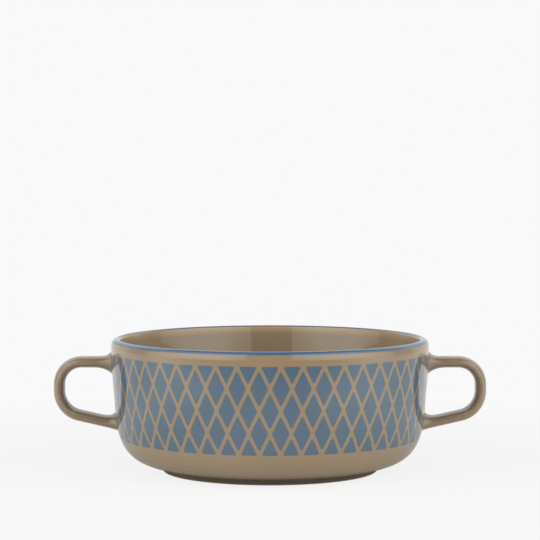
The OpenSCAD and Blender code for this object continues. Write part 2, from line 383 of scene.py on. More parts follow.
# %% [markdown]
# ## The printed band
# The band is printed flat and laid round the wall as two half sheets, so it is
# modelled flat and then rolled. Each row has one lozenge, made from a circle of
# four vertices, with its corners rounded by a bevel, and an array repeats it.
# Two oval rooms are cut where the handles sit. The flat sheet is then sliced by
# bisecting planes, because a face that is to follow a curved wall needs
# vertices to bend at.

# %% Draw one row of lozenges
AROUND = 48  # lozenges in a full row
ROWS = 5  # the first and last are half lozenges
LOZENGE_H = 18.15
BAND_DROP = 5.7  # from the top of the lip down to the band
BAND_TOP = BOWL_H - BAND_DROP
GAP = 1.2  # bare glaze between two lozenges
CORNER_R = 0.7
TILE_T = 2  # thickness of the flat tiles, of which only the front is kept
QUARTER = RIM_R * math.pi / 2  # a quarter turn, on the flat sheet
pitch = 2 * math.pi * RIM_R / AROUND  # one lozenge and its gap


def lozenge_row(row):
    """A row of thin tiles, one for each place in half a turn."""
    z = BAND_TOP - row * LOZENGE_H / 2
    squeeze = RIM_R / wall_at(z)[0]
    w = pitch / squeeze
    drawn = 1 - GAP * math.hypot(w, LOZENGE_H) / (w * LOZENGE_H)
    side, point = pitch / 2 * drawn, LOZENGE_H / 2 * drawn
    select_none()
    bpy.ops.mesh.primitive_circle_add(
        vertices=4, radius=MM, fill_type="NGON", rotation=(math.pi / 2, 0, 0))
    tile = open_new("row_%d" % row)
    take_all()
    set_mode("OBJECT")
    bpy.ops.object.transform_apply(rotation=True)
    set_mode("EDIT")
    stretch(side, 1, point)
    half = row in (0, ROWS - 1)
    if half:
        bpy.ops.mesh.bisect(
            plane_co=(0, 0, 0), plane_no=(0, 0, 1 if row == 0 else -1), clear_outer=True)
    lean = math.atan2(point, side)
    for corner_angle, at_point in ((lean if half else 2 * lean, False), (math.pi - 2 * lean, True)):
        pick(tile, lambda co: (abs(co.x) < NEAR * MM) == at_point
             and not (half and at_point and abs(co.z) < NEAR * MM))
        bpy.ops.mesh.bevel(offset=CORNER_R * MM / math.tan(corner_angle / 2),
                           segments=ROUND_STEPS, affect="VERTICES")
    take_all()
    first = -QUARTER + (pitch / 2 if row % 2 else 0)
    bpy.ops.transform.translate(value=(first * MM, -TILE_T / 2 * MM, z * MM))
    extrude_by(0, TILE_T, 0)
    clean_and_close(tile)
    apply_modifier(tile, "ARRAY", count=AROUND // 2, use_relative_offset=False,
                   use_constant_offset=True, constant_offset_displace=(pitch * MM, 0, 0))
    return tile


rows = [lozenge_row(row) for row in range(ROWS)]
make_only(rows[0])
for row in rows[1:]:
    row.select_set(True)
bpy.ops.object.join()
sheet = bpy.context.object
print("The flat sheet has", faces(sheet), "faces")

# %% [markdown]
# ## Rooms for the handles
# The print is cut clear of each handle's seat, so the places of the seats come
# first. They follow from the centre line of the handle: a level arm, a bend, a
# short leg, a wider bend and an arm that slopes back to the wall. The strap's
# section is two half ellipses that share their width, one for its outer side
# and one for its inner side, and the same shape, grown a little, is the room.

# %% Find the seats
STRAP_W, STRAP_T = 12, 4.9
HANDLE_REACH = 24.7  # from the rim to the outer side of a handle
ARM_DROP = 10.3  # from the top of the lip down to the upper arm's centre line
SLIP_T = 0.4  # layer of slip between a strap and the wall
UPPER_BEND_R, LOWER_BEND_R = 9.6, 10.8
LEG_L = 2.8
SLOPE = math.radians(12.8)
SEAT_TRIES = 8  # each one brings the lower seat closer to the wall
LEG_X = RIM_R + HANDLE_REACH - STRAP_T / 2
UPPER_Z = BOWL_H - ARM_DROP
UPPER_X = wall_at(UPPER_Z)[0] + SLIP_T
UPPER_BEND = (LEG_X - UPPER_BEND_R, UPPER_Z - UPPER_BEND_R)
LOWER_BEND = (LEG_X - LOWER_BEND_R, UPPER_BEND[1] - LEG_L)
ARM_END = (LOWER_BEND[0] + LOWER_BEND_R * math.sin(SLOPE),
           LOWER_BEND[1] - LOWER_BEND_R * math.cos(SLOPE))


def arm_z(x):
    """Height of the lower arm's centre line at x."""
    return ARM_END[1] - (ARM_END[0] - x) * math.tan(SLOPE)


def lower_seat():
    """Where the lower arm's centre line meets the slip on the wall."""
    x = RIM_R
    for _ in range(SEAT_TRIES):
        x = wall_at(arm_z(x))[0]
    return x + SLIP_T, arm_z(x + SLIP_T)


LOWER_X, LOWER_Z = lower_seat()
print("Seats at", [(round(x, 2), round(z, 2)) for x, z in ((UPPER_X, UPPER_Z), (LOWER_X, LOWER_Z))])

# %% Cut the rooms
ROOM = 0.9  # bare glaze round a seat
FLARE_SIDE = 1.2  # how much a strap spreads at each edge of a seat
UPPER_FLARE = (1.9, 2.6)  # on the outer and on the inner side of the upper arm
LOWER_FLARE = (0.2, 2.2)
OVAL_STEPS = 64
CUT_T = 6  # thickness of what cuts a room, more than the tiles'


def room_size(flare):
    """Half width, and reach to the outer and the inner side, of a seat's room."""
    return (STRAP_W / 2 + FLARE_SIDE + ROOM,
            STRAP_T / 2 + flare[0] + ROOM, STRAP_T / 2 + flare[1] + ROOM)


def cut_room(piece, x, z, half_w, up, down):
    """Cuts an oval room through the flat sheet, at x and z."""
    select_none()
    bpy.ops.mesh.primitive_circle_add(vertices=OVAL_STEPS, radius=MM, fill_type="NGON")
    room = open_new("room")
    take_all()
    turn_about("X", math.pi / 2)
    stretch(half_w, 1, 1)
    for side, reach in ((1, up), (-1, down)):
        pick(room, lambda co: co.z * side > NEAR * MM)
        stretch(1, 1, reach)
    take_all()
    bpy.ops.transform.translate(value=(x * MM, -CUT_T / 2 * MM, z * MM))
    extrude_by(0, CUT_T, 0)
    clean_and_close(room)
    apply_modifier(piece, "BOOLEAN", operation="DIFFERENCE", solver="EXACT", object=room)
    bpy.data.objects.remove(room)


for x in (-QUARTER, QUARTER):
    w, out, inn = room_size(UPPER_FLARE)
    cut_room(sheet, x, UPPER_Z, w, out, inn)
    w, out, inn = room_size(LOWER_FLARE)
    cut_room(sheet, x, LOWER_Z, w * RIM_R / wall_at(LOWER_Z)[0], inn, out)
print("The cut sheet has", faces(sheet), "faces")

# %% Slice the flat sheet
EDGE = 0.22  # width of the weak edge of each lozenge
SLICE = 1.3  # size of a slice
FRONT_FACE = -0.9  # a normal's y, below which a face is a tile's front

make_only(sheet)
set_mode("EDIT")
bpy.ops.mesh.select_mode(type="FACE")
mesh = bmesh.from_edit_mesh(sheet.data)
for f in mesh.faces:
    f.select = f.normal.y > FRONT_FACE
bmesh.update_edit_mesh(sheet.data)
bpy.ops.mesh.delete(type="FACE")
take_all()
bpy.ops.mesh.inset(thickness=EDGE * MM, use_individual=True)
wide, high = QUARTER + pitch / 2, LOZENGE_H * (ROWS - 1) / 2
for k in range(math.ceil(high / SLICE)):
    take_all()
    bpy.ops.mesh.bisect(plane_co=(0, 0, (BAND_TOP - k * SLICE) * MM), plane_no=(0, 0, 1))
for k in range(math.ceil(2 * wide / SLICE)):
    take_all()
    bpy.ops.mesh.bisect(plane_co=((k * SLICE - wide) * MM, 0, 0), plane_no=(1, 0, 0))
set_mode("OBJECT")
set_mode("EDIT")
mesh = bmesh.from_edit_mesh(sheet.data)
rim_of_tile = {v.index for v in mesh.verts if v.is_boundary}
set_mode("OBJECT")
keep_strength(sheet, lambda v: 0.0 if v.index in rim_of_tile else 1.0)
print("The sliced sheet has", faces(sheet), "faces")

# %% Roll the sheets on the wall
FRONT_TURN = 1.5 * math.pi  # the turn, from +X, of the bowl's front

for v in sheet.data.vertices:
    r, slope = wall_at(v.co.z / MM)
    turn = FRONT_TURN + v.co.x / MM / RIM_R
    reach = (r + SKIN * math.sin(slope)) * MM
    v.co = (reach * math.cos(turn), reach * math.sin(turn), v.co.z - SKIN * math.cos(slope) * MM)
apply_modifier(sheet, "SOLIDIFY", thickness=(SKIN + SUNK) * MM, offset=-1)
bpy.ops.object.shade_smooth_by_angle(angle=SHARP)
front_print = sheet
front_print.name = front_print.data.name = "print_front"

bpy.ops.object.duplicate()
back_print = bpy.context.object
back_print.name = back_print.data.name = "print_back"
set_mode("EDIT")
take_all()
turn_about("Z", math.pi)
set_mode("OBJECT")
print("Each half sheet has", faces(front_print), "faces")

# %% [markdown]
# ## The strap handles
# A handle is pulled from a lump of clay into a strap, bent to a loop and pressed
# to the wall, where it spreads. It could be a curve with a section, but the
# section has to spread by a different amount on each side. So one ring of the
# section is extruded along the arm, spun round each bend and extruded again,
# as the strap is bent. Near the wall the rings lie close together, because
# there they are spread and pared to its curve.

# %% Bend the strap
SECTION = 48  # vertices of the section
FLARE_L = 8.5  # length over which an arm spreads
FLARE_STEPS = 12
FLARE_CROWDING = 1.6  # above 1, the rings lie closer together near the wall
UPPER_STEPS, LOWER_STEPS = 18, 16  # steps of the two bends
flare_places = [FLARE_L * (k / FLARE_STEPS) ** FLARE_CROWDING for k in range(FLARE_STEPS + 1)]


select_none()
bpy.ops.mesh.primitive_circle_add(vertices=SECTION, radius=MM)
handle = open_new("handle_right")
take_all()
turn_about("Y", math.pi / 2)
stretch(1, STRAP_W / 2, STRAP_T / 2)
bpy.ops.transform.translate(value=(UPPER_X * MM, 0, UPPER_Z * MM))
for a, b in zip(flare_places, flare_places[1:]):
    extrude_by(b - a, 0, 0)
extrude_by(UPPER_BEND[0] - UPPER_X - FLARE_L, 0, 0)
bpy.ops.mesh.spin(steps=UPPER_STEPS, angle=-math.pi / 2, axis=(0, 1, 0),
                  center=(UPPER_BEND[0] * MM, 0, UPPER_BEND[1] * MM))
extrude_by(0, 0, -LEG_L)
bpy.ops.mesh.spin(steps=LOWER_STEPS, angle=SLOPE - math.pi / 2, axis=(0, 1, 0),
                  center=(LOWER_BEND[0] * MM, 0, LOWER_BEND[1] * MM))
arm_l = (ARM_END[0] - LOWER_X) / math.cos(SLOPE)
stops = [0, arm_l - FLARE_L] + [arm_l - d for d in flare_places[-2::-1]]
for a, b in zip(stops, stops[1:]):
    extrude_by((a - b) * math.cos(SLOPE), 0, (a - b) * math.sin(SLOPE))
bpy.ops.mesh.select_all(action="DESELECT")
set_mode("OBJECT")
spans = [round((max(a) - min(a)) / MM, 2) for a in zip(*(v.co for v in handle.data.vertices))]
print("The bent strap spans", spans, "mm")

# %% [markdown]
# ## Spread and pared ends
# Where the strap meets the wall it spreads, more inside the loop than outside,
# and its end follows the curve of the wall. Every vertex near a seat is moved
# by two rules: how much of the spread is left at its distance from the wall,
# and how far the wall has curved away there. The end stops short of the wall
# by the layer of slip that holds it.

# %% Spread the ends
SEARCH, HALVINGS = 6.0, 24  # where the wall is looked for, and in how many steps
OUTER_POWER = 6  # how fast the spread ends on a strap's outer side
SPREAD_POWER = 3  # and on its inner side and its edges
PARED_POWER = 2  # and how fast the paring to the wall ends
# An arm: its seat, its direction, its outer side and its spread there
UP_ARM = (Vector((UPPER_X, 0, UPPER_Z)), Vector((1, 0, 0)), Vector((0, 0, 1)), UPPER_FLARE)
LOW_ARM = (Vector((LOWER_X, 0, LOWER_Z)), Vector((math.cos(SLOPE), 0, math.sin(SLOPE))),
           Vector((math.sin(SLOPE), 0, -math.cos(SLOPE))), LOWER_FLARE)


def to_wall(arm, y, q, lift):
    """Distance along an arm from its seat to the wall, lifted, at y and q of its section."""
    seat, along, outer, _ = arm
    low, high = -SEARCH, SEARCH
    for _ in range(HALVINGS):
        s = (low + high) / 2
        p = seat + along * s + outer * q
        if math.hypot(p.x, y) > wall_at(p.z)[0] + lift:
            high = s
        else:
            low = s
    return s


def spread(arm, d, y, q):
    """Where a point of the plain section goes at distance d from the seat."""
    left = max(0, 1 - max(d, 0) / FLARE_L)
    share = arm[3][0] * left ** OUTER_POWER if q > 0 else arm[3][1] * left ** SPREAD_POWER
    return (y * (1 + 2 * left ** SPREAD_POWER * FLARE_SIDE / STRAP_W),
            q * (1 + 2 * share / STRAP_T))


for v in handle.data.vertices:
    arm = UP_ARM if v.co.z > (UPPER_BEND[1] - LEG_L / 2) * MM else LOW_ARM
    seat, along, outer, _ = arm
    p = v.co / MM - seat
    d, q = p.dot(along), p.dot(outer)
    if d < FLARE_L - NEAR:
        y, q = spread(arm, d, v.co.y / MM, q)
        pared = to_wall(arm, y, q, SLIP_T) * (1 - d / FLARE_L) ** PARED_POWER
        v.co = (seat + along * (d + pared) + outer * q + Vector((0, y, 0))) * MM
print("The upper arm spreads to", round(STRAP_W + 2 * FLARE_SIDE, 2), "mm")

# %% Close the ends
STRAP_SHARP = math.radians(50)  # edges that turn more than this stay sharp
between = (UPPER_Z + LOWER_Z) / 2 * MM  # a height between the two seats


def pick_rims(piece, wanted):
    """Selects the open edges for whose height wanted is true, in edit mode."""
    bpy.ops.mesh.select_mode(type="EDGE")
    bpy.ops.mesh.select_all(action="DESELECT")
    mesh = bmesh.from_edit_mesh(piece.data)
    for e in mesh.edges:
        e.select = e.is_boundary and wanted((e.verts[0].co.z + e.verts[1].co.z) / 2)
    bmesh.update_edit_mesh(piece.data)


make_only(handle)
set_mode("EDIT")
for wanted in (lambda z: z > between, lambda z: z < between):
    pick_rims(handle, wanted)
    bpy.ops.mesh.edge_face_add()
clean_and_close(handle)
bpy.ops.object.shade_smooth_by_angle(angle=STRAP_SHARP)
along_x = [v.co.x / MM for v in handle.data.vertices]
print("The handle has", faces(handle), "faces, x from",
      round(min(along_x), 2), "to", round(max(along_x), 2))

# %% [markdown]
# ## Collars of slip
# Slip, which is runny clay, is brushed on both surfaces before they are pressed
# together. What squeezes out is wiped to a small hollow fillet, and the glaze
# softens it further. A plain tube is extruded with one ring for each line of
# the fillet, and each ring is then laid on the wall round its arm.

# %% Lay the collars
FILLET = 0.8  # height and width of the hollow fillet
COLLAR_STEPS = 6
TUCKED = 0.4  # how far the collar reaches into the strap
BURIED = 0.2  # and into the wall
HIDDEN_SLANT = 0.05  # how far its hidden faces step back from its two edges
EDGE_SUNK = 0.03  # how deep its upper edge lies in the strap
hollow = [(FILLET * (1 - math.sin(t)), FILLET * (1 - math.cos(t)))
          for t in (math.pi / 2 * k / COLLAR_STEPS for k in range(COLLAR_STEPS + 1))]
# Lines of the collar, as growth round the strap and height off the wall
collar_lines = (
    [(-TUCKED, -BURIED), (FILLET - HIDDEN_SLANT, -BURIED)] + hollow[:-1]
    + [(-EDGE_SUNK, FILLET), (-TUCKED, FILLET - HIDDEN_SLANT)])


def collar(name, arm):
    """A closed collar of slip round the seat of one arm."""
    select_none()
    bpy.ops.mesh.primitive_circle_add(vertices=2 * SECTION, radius=MM)
    piece = open_new(name)
    take_all()
    turn_about("Y", math.pi / 2)
    for _ in collar_lines[1:]:
        extrude_by(1, 0, 0)
    set_mode("OBJECT")
    seat, along, outer, _ = arm
    for v in piece.data.vertices:
        grow, height = collar_lines[round(v.co.x / MM)]
        turn = math.atan2(v.co.z, v.co.y)
        y, q = spread(arm, height - SLIP_T,
                      STRAP_W / 2 * math.cos(turn), STRAP_T / 2 * math.sin(turn))
        y, q = y + grow * math.cos(turn), q + grow * math.sin(turn)
        v.co = (seat + along * (to_wall(arm, y, q, 0) + height) + outer * q + Vector((0, y, 0))) * MM
    set_mode("EDIT")
    pick_rims(piece, lambda z: True)
    bpy.ops.mesh.bridge_edge_loops()
    clean_and_close(piece)
    bpy.ops.object.shade_smooth_by_angle(angle=STRAP_SHARP)
    return piece


upper_collar = collar("slip_right_upper", UP_ARM)
lower_collar = collar("slip_right_lower", LOW_ARM)
print("Each collar has", faces(upper_collar), "faces")


# %% Mirror to the left
def mirrored(piece, name):
    """A copy of piece on the other side of the bowl, with its own mesh."""
    make_only(piece)
    bpy.ops.object.duplicate()
    copy = bpy.context.object
    copy.name = copy.data.name = name
    set_mode("EDIT")
    take_all()
    stretch(-1, 1, 1)
    clean_and_close(copy)
    return copy


left_handle = mirrored(handle, "handle_left")
left_upper = mirrored(upper_collar, "slip_left_upper")
left_lower = mirrored(lower_collar, "slip_left_lower")
print("The handles span", round(2 * max(v.co.x for v in handle.data.vertices) / MM, 2), "mm")

# %% [markdown]
# ## Where each piece belongs
# Each piece rides on the CAD body and stands for the CAD node that it
# replaces, which then isn't shown.

# %% Ride and replace
PIECES = [
    (body, "taupe_glaze", "bowl_body"),
    (handle, "taupe_glaze", "right_handle"),
    (left_handle, "taupe_glaze", "left_handle"),
    (upper_collar, "glazed_slip", "right_upper_slip"),
    (lower_collar, "glazed_slip", "right_lower_slip"),
    (left_upper, "glazed_slip", "left_upper_slip"),
    (left_lower, "glazed_slip", "left_lower_slip"),
    (line, "painted_line", "rim_line"),
    (front_print, "blue_print", "front_print"),
    (back_print, "blue_print", "back_print"),
]
for piece, slot, node in PIECES:
    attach(piece, "root")
    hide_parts(node)
print(len(PIECES), "pieces ride on the bowl")

# %% [markdown]
# ## Glaze
# The glaze is a thick clear gloss over a taupe ground. On the real bowl it is
# never quite even: it drifts in tone over centimetres, is finely mottled, and
# its surface has a faint wave that you only see where it mirrors a lamp. One
# node group makes this for every material, with its own colours and amounts.

# %% Node helpers
def feed(tree, socket, value):
    """Sets a socket to a value, or links it to another socket."""
    if isinstance(value, bpy.types.NodeSocket):
        tree.links.new(value, socket)
    else:
        socket.default_value = value


def add_node(tree, kind, **inputs):
    """Adds a node and feeds its inputs by name."""
    node = tree.nodes.new(kind)
    for name, value in inputs.items():
        feed(tree, node.inputs[name.replace("_", " ")], value)
    return node


def math_node(tree, operation, a, b=0):
    """A math node's result for two values or sockets."""
    node = tree.nodes.new("ShaderNodeMath")
    node.operation = operation
    for socket, value in zip(node.inputs, (a, b)):
        feed(tree, socket, value)
    return node.outputs[0]


def plus(tree, a, b):
    """a + b"""
    return math_node(tree, "ADD", a, b)


def minus(tree, a, b):
    """a - b"""
    return math_node(tree, "SUBTRACT", a, b)


def times(tree, a, b):
    """a * b"""
    return math_node(tree, "MULTIPLY", a, b)


def mix_colours(tree, share, a, b):
    """Colour a, with a share of colour b over it."""
    node = tree.nodes.new("ShaderNodeMix")
    node.data_type = "RGBA"
    for index, value in ((0, share), (6, a), (7, b)):
        feed(tree, node.inputs[index], value)
    return node.outputs[2]


def ramp_between(tree, value, low, high):
    """0 below low, 1 above high and smooth between."""
    node = add_node(tree, "ShaderNodeMapRange", Value=value, From_Min=low, From_Max=high)
    node.interpolation_type = "SMOOTHSTEP"
    return node.outputs["Result"]


def noise(tree, place, scale, detail):
    """Cloudy noise from 0 to 1."""
    return add_node(tree, "ShaderNodeTexNoise", Vector=place, Scale=scale, Detail=detail).outputs["Fac"]


def parts_of(tree, vector):
    """The outputs X, Y and Z of a node that takes a vector apart."""
    return add_node(tree, "ShaderNodeSeparateXYZ", Vector=vector).outputs


def rgb(red, green, blue):
    """A colour as it looks on screen, from 0 to 255, as the shader wants it."""
    # The curve of every common screen: straight up to 10, a power above it
    linear = [c / 3294.6 if c <= 10 else ((c / 255 + 0.055) / 1.055) ** 2.4 for c in (red, green, blue)]
    return (*linear, 1)


print("Screen colour 150 is", round(rgb(150, 0, 0)[0], 3), "to the shader")

# %% Build the glaze group
DRIFT_SCALE = 38  # the slow drift in tone, coarse
MOTTLE_SCALE = 900  # the mottle, fine
WAVE_SCALE = 190  # the wave of the surface
DRIFT_RAMP, MOTTLE_RAMP = (0.35, 0.7), (0.4, 0.7)  # noise that deepens the colour
SMOOTH, MOTTLE_ROUGH = 0.03, 0.04  # roughness, and what the mottle adds to it

tree = glaze_group = bpy.data.node_groups.new("fired_glaze", "ShaderNodeTree")
for name, kind, way in (
        ("Vector", "Vector", "INPUT"), ("Colour", "Color", "INPUT"), ("Deep Colour", "Color", "INPUT"),
        ("Drift", "Float", "INPUT"), ("Mottle", "Float", "INPUT"),
        ("Colour", "Color", "OUTPUT"), ("Roughness", "Float", "OUTPUT"), ("Height", "Float", "OUTPUT")):
    tree.interface.new_socket(name, in_out=way, socket_type="NodeSocket" + kind)
inner = tree.nodes.new("NodeGroupInput").outputs
outer = tree.nodes.new("NodeGroupOutput").inputs
drift = noise(tree, inner["Vector"], DRIFT_SCALE, 2)
mottle = noise(tree, inner["Vector"], MOTTLE_SCALE, 3)
deep = plus(tree, times(tree, inner["Drift"], ramp_between(tree, drift, *DRIFT_RAMP)),
            times(tree, inner["Mottle"], ramp_between(tree, mottle, *MOTTLE_RAMP)))
feed(tree, outer["Colour"], mix_colours(tree, deep, inner["Colour"], inner["Deep Colour"]))
rough = plus(tree, times(tree, mottle, MOTTLE_ROUGH), SMOOTH)
feed(tree, outer["Roughness"], rough)
feed(tree, outer["Height"], noise(tree, inner["Vector"], WAVE_SCALE, 1))
print("The glaze group has", len(glaze_group.nodes), "nodes")

# %% [markdown]
# ## The finishes
# All finishes share the group and the same clear gloss. The print and the line
# are colour laid under the gloss: where they are weak, at their edges, the
# ground shows through. The body shows three more things. Where the foot stands
# the clay is bare, because a glazed foot would stick to the kiln shelf. Above
# that the foot ring is painted darker, as painted shade under the bowl. Just
# inside the lip the glaze is painted lighter, as painted light on the upper
# inside wall.

# %% Mix the finishes
GROUND, GROUND_DEEP = rgb(150, 131, 104), rgb(136, 117, 91)
GLOSS_IOR = 1.52
MOTTLE = 0.15  # how much the mottle deepens the colour
WAVE = 0.15  # how strongly the wave shows
WAVE_H = 0.00005  # its height in metres


def glazed(name, colour, deep, drift=0.3):
    """A material with a glossy shader and the glaze group, and its parts."""
    material = bpy.data.materials.new(name)
    material.use_nodes = True
    tree = material.node_tree
    shader = tree.nodes["Principled BSDF"]
    place = tree.nodes.new("ShaderNodeTexCoord").outputs["Object"]
    glaze = tree.nodes.new("ShaderNodeGroup")
    glaze.node_tree = glaze_group
    for socket, value in (("Vector", place), ("Colour", colour), ("Deep Colour", deep),
                          ("Drift", drift), ("Mottle", MOTTLE)):
        feed(tree, glaze.inputs[socket], value)
    glaze = glaze.outputs
    bump = add_node(tree, "ShaderNodeBump", Strength=WAVE, Distance=WAVE_H, Height=glaze["Height"])
    for socket, value in (("IOR", GLOSS_IOR), ("Base Color", glaze["Colour"]),
                          ("Roughness", glaze["Roughness"]), ("Normal", bump.outputs["Normal"])):
        feed(tree, shader.inputs[socket], value)
    return material, tree, shader, glaze, place


def let_ground_show(tree, shader, glaze):
    """Lets the ground show through where the stored strength is low."""
    strength = tree.nodes.new("ShaderNodeAttribute")
    strength.attribute_name = "strength"
    share = ramp_between(tree, strength.outputs["Fac"], 0.0, 1.0)
    feed(tree, shader.inputs["Base Color"], mix_colours(tree, share, GROUND, glaze["Colour"]))


print("The ground's colour is", [round(level, 3) for level in GROUND[:3]])

# %% Glaze the body
CLAY, CLAY_DARK = rgb(176, 158, 134), rgb(150, 132, 110)
# Painted shade: the foot ring is coloured darker to stand in for the shade under the bowl
PAINTED_FOOT_SHADE = rgb(114, 99, 83)
# Painted light: a lighter colour just inside the lip stands in for the light that falls in over the rim
PAINTED_LIP_LIGHT = rgb(176, 150, 116)
GRIT_SCALE = 1400
BARE_ROUGH = 0.7  # how much rougher bare clay is than the glaze
# The shader reads metres, so these heights and distances are in metres
BARE_Z = (0.00055, 0.0004)  # from glaze down to bare clay
FOOT_SHADE_Z = (0.0017, 0.0030)  # from painted shade on the foot ring up to plain glaze
LIP_LIGHT_Z = (0.0525, 0.0556)  # from plain glaze up to the painted light inside the lip
LIP_LIGHT_R = (0.0650, 0.0644)  # and from plain glaze in to that painted light

taupe, tree, shader, glaze, place = glazed("body_glaze", GROUND, GROUND_DEEP)
at = parts_of(tree, place)
# Painted shade darkens the foot ring, fading out up the wall
foot = mix_colours(tree, ramp_between(tree, at["Z"], *FOOT_SHADE_Z), PAINTED_FOOT_SHADE, glaze["Colour"])
from_axis = plus(tree, times(tree, at["X"], at["X"]), times(tree, at["Y"], at["Y"]))  # squared
# Painted light lightens the upper inside wall just under the lip
thin = times(tree, ramp_between(tree, at["Z"], *LIP_LIGHT_Z),
             ramp_between(tree, from_axis, *(r ** 2 for r in LIP_LIGHT_R)))
# The glaze colour with the painted shade on the foot and the painted light inside the lip
glaze_shade_and_light = mix_colours(tree, thin, foot, PAINTED_LIP_LIGHT)
bare = add_node(tree, "ShaderNodeMapRange", Value=at["Z"], From_Min=BARE_Z[0], From_Max=BARE_Z[1])
bare = bare.outputs["Result"]
clay = mix_colours(tree, noise(tree, place, GRIT_SCALE, 4), CLAY, CLAY_DARK)
feed(tree, shader.inputs["Base Color"], mix_colours(tree, bare, glaze_shade_and_light, clay))
feed(tree, shader.inputs["Roughness"], plus(tree, glaze["Roughness"], times(tree, bare, BARE_ROUGH)))
print("The body's glaze has", len(tree.nodes), "nodes")

# %% Glaze every other piece
HANDLE, HANDLE_DEEP = rgb(146, 127, 103), rgb(130, 111, 88)
SLIP, SLIP_DEEP = rgb(140, 120, 96), rgb(122, 103, 81)
LINE, LINE_DEEP = rgb(64, 101, 134), rgb(52, 88, 121)
BLUE, BLUE_DEEP = rgb(85, 105, 121), rgb(75, 95, 111)

handle_glaze = glazed("handle_glaze", HANDLE, HANDLE_DEEP)[0]
slip_glaze = glazed("slip_glaze", SLIP, SLIP_DEEP, drift=0.5)[0]
line_paint, tree, shader, glaze, _ = glazed("line_paint", LINE, LINE_DEEP, drift=0.6)
let_ground_show(tree, shader, glaze)
print_paint, tree, shader, glaze, _ = glazed("print_paint", BLUE, BLUE_DEEP, drift=0.4)
let_ground_show(tree, shader, glaze)

FINISHES = {
    taupe: [body], handle_glaze: [handle, left_handle],
    slip_glaze: [upper_collar, lower_collar, left_upper, left_lower],
    line_paint: [line], print_paint: [front_print, back_print]}
for finish, pieces in FINISHES.items():
    for piece in pieces:
        piece.data.materials.clear()
        piece.data.materials.append(finish)
print("Finishes:", sorted(finish.name for finish in FINISHES))

# %% [markdown]
# ## The table
# The floor isn't part of the object. Glossy glaze shows the room, so the floor
# has three looks. It lights the bowl as a pale table would that passes a little
# light up from below. To the camera it is white, with a faint shadow. In the
# glaze it is the lit table near the bowl and a white one further off. At its
# front ends, left and right, it is brighter still, because the softboxes reach
# down past it. Straight in front it is dark, where the photographer stands
# between the lamps.

# %% Lay the table
TABLE_W, TABLE_L = 1.1, 3  # in metres
TABLE_DROP = 0.00002  # metres under the foot, so that no two faces coincide

select_none()
bpy.ops.mesh.primitive_plane_add(size=1, location=(0, 0, -TABLE_DROP))
floor = open_new("table")
take_all()
stretch(TABLE_W, TABLE_L, 1)
set_mode("OBJECT")
print("The table is", TABLE_W, "by", TABLE_L, "m")


# %% Helpers for light
def grey(level):
    """A plain grey, as a colour."""
    return (level, level, level, 1)


def plain(tree, kind, level, **inputs):
    """An Emission or BsdfDiffuse shader in a plain grey."""
    return add_node(tree, "ShaderNode" + kind, Color=grey(level), **inputs).outputs[0]


def join_shaders(tree, kind, *values):
    """One shader of others: values are a and b to add, or a share, a and b to mix."""
    node = tree.nodes.new("ShaderNode" + kind)
    for socket, value in zip(node.inputs, values):
        feed(tree, socket, value)
    return node.outputs[0]


def mix_shaders(tree, share, a, b):
    """Shader a, with a share of shader b over it."""
    return join_shaders(tree, "MixShader", share, a, b)


def by_glaze(tree, rays):
    """1 for rays that a glossy or clear surface sends on."""
    return math_node(
        tree, "MAXIMUM", rays.outputs["Is Glossy Ray"], rays.outputs["Is Transmission Ray"])


def distance(tree, place, wide=1.0):
    """Distance from the bowl's axis, with the sides counted as wide times as far."""
    wider = tree.nodes.new("ShaderNodeVectorMath")
    wider.operation = "MULTIPLY"
    feed(tree, wider.inputs[0], place)
    feed(tree, wider.inputs[1], (wide, 1, 1))
    length = tree.nodes.new("ShaderNodeVectorMath")
    length.operation = "LENGTH"
    feed(tree, length.inputs[0], wider.outputs[0])
    return length.outputs["Value"]


print("Paper white is", grey(1))

# %% Give the table its three looks
WHITE = 0.947  # the background, as seen
TABLE = 0.92  # how much light the table sends back
TABLE_GLOW = 0.12  # how much light comes up through it
GLOW_FROM = (0.047, 0.085)  # metres from the axis, clear of the foot
SHADOW = 0.12  # how much of the camera's view comes from the light on it
OPEN_LIGHT = 0.85  # how bright that light is away from the shadow
SHADOW_END = (0.15, 0.29)  # metres from the axis at which the view is plain white
SIDE_GLOW = 1.5  # the softboxes below its front ends, in the glaze
SIDE_X, SIDE_Y = (0.08, 0.2), (-0.08, 0.04)  # metres at which those ends begin and end
LIT_END = (0.1, 0.3)  # metres from the axis at which it turns white, in the glaze
LIT_WIDE = 1.5  # the sides count as so many times as far
DARK = 0.02  # straight in front, in the glaze
DARK_Y = (-0.37, -0.12)  # from dark in front to the lit table

table = bpy.data.materials.new("pale_table")
table.use_nodes = True
tree = table.node_tree
tree.nodes.clear()
rays = tree.nodes.new("ShaderNodeLightPath")
place = tree.nodes.new("ShaderNodeTexCoord").outputs["Object"]
at = parts_of(tree, place)

from_below = times(tree, ramp_between(tree, distance(tree, place), *GLOW_FROM), TABLE_GLOW)
lit = join_shaders(tree, "AddShader", plain(tree, "BsdfDiffuse", TABLE),
                   plain(tree, "Emission", 1, Strength=from_below))

shown = join_shaders(tree, "AddShader", plain(tree, "BsdfDiffuse", SHADOW),
                     plain(tree, "Emission", WHITE - OPEN_LIGHT * SHADOW))
to_camera = mix_shaders(tree, ramp_between(tree, distance(tree, place), *SHADOW_END),
                        shown, plain(tree, "Emission", WHITE))

aside = times(tree, ramp_between(tree, math_node(tree, "ABSOLUTE", at["X"]), *SIDE_X),
              minus(tree, 1, ramp_between(tree, at["Y"], *SIDE_Y)))
glow = mix_shaders(tree, aside, plain(tree, "Emission", WHITE), plain(tree, "Emission", SIDE_GLOW))
far = ramp_between(tree, distance(tree, place, LIT_WIDE), *LIT_END)
in_glaze = mix_shaders(tree, ramp_between(tree, at["Y"], *DARK_Y),
                       plain(tree, "Emission", DARK), mix_shaders(tree, far, lit, glow))

